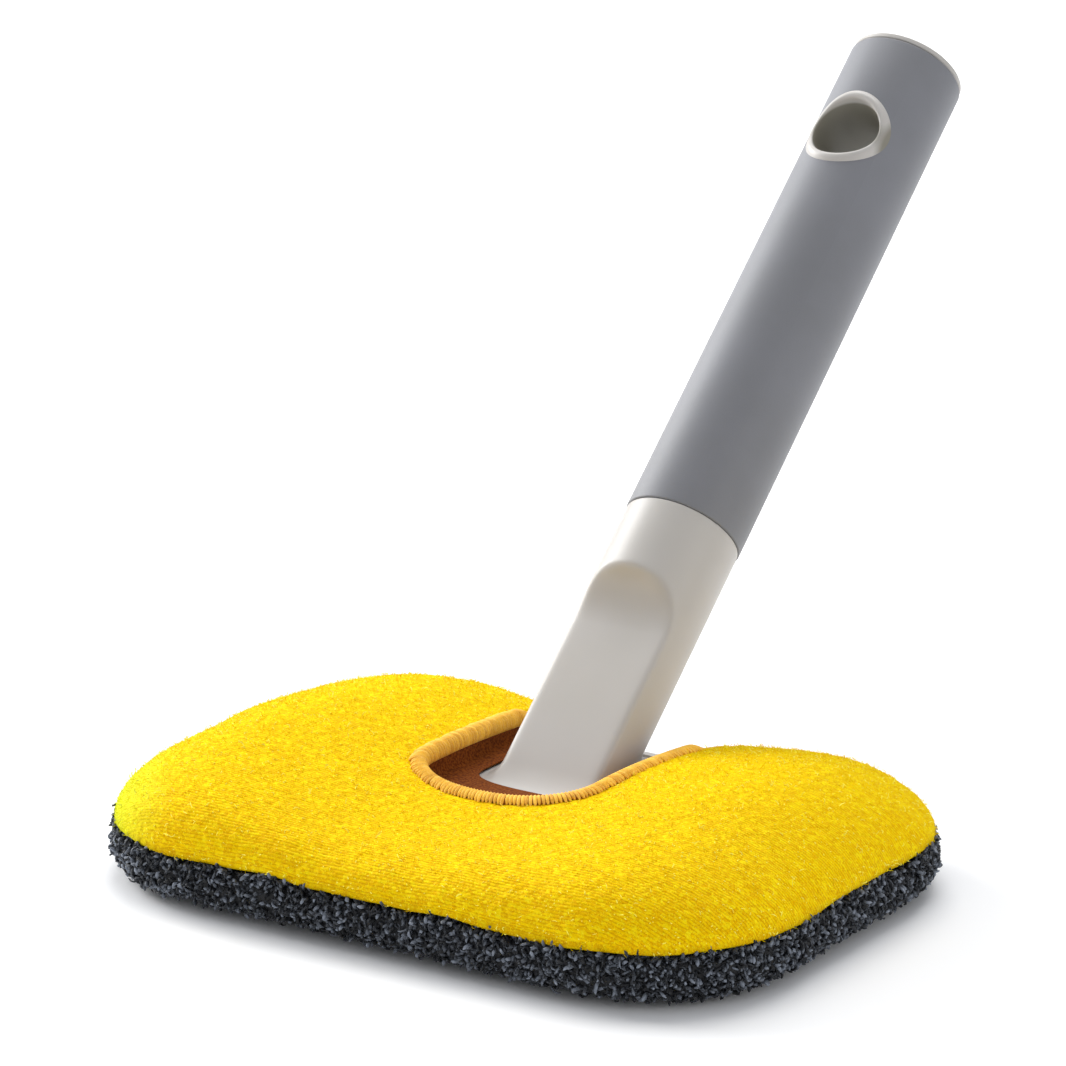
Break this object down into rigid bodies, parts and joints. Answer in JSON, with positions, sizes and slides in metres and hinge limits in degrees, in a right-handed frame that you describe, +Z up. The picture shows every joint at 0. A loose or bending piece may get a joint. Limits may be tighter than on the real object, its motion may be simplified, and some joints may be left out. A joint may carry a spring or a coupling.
{
  "type": "hand cleaning brush with slip-on cover",
  "caption": "Hand cleaning brush: a leaning round handle with a soft grip on a padded rectangular head, whose two-sided fabric cover slips off the head plate.",
  "frame": {"origin": "centre of the flat sole, on the floor", "axes": "+X along the head's long way, +Y towards the side that the handle leans to, +Z up"},
  "size_m": [0.195, 0.271, 0.1867],
  "materials": {
    "yellow_microfibre": "sparkling looped microfibre",
    "grey_chenille": "chenille pile",
    "amber_thread": "overlocked thread",
    "foam": "soft foam",
    "off_white_plastic": "satin moulded",
    "screw_steel": "zinc plated",
    "grey_rubber": "soft touch"
  },
  "bodies": {
    "cover": {"cover_base": "grey_chenille", "cover_top": "yellow_microfibre", "opening_binding": "amber_thread", "foam_lobes": "foam", "foam_pad": "foam"},
    "handle": {"handle_core": "off_white_plastic", "grip_sleeve": "grey_rubber", "hang_eyelet": "off_white_plastic", "end_cap": "off_white_plastic", "head_plate": "off_white_plastic", "foot_screw_front": "screw_steel", "foot_screw_back": "screw_steel"}
  },
  "joints": [
    {"name": "cover_slide", "type": "slide", "parent": "cover", "child": "handle", "axis": [0, 1, 0], "range_m": [0, 0.135]}
  ]
}
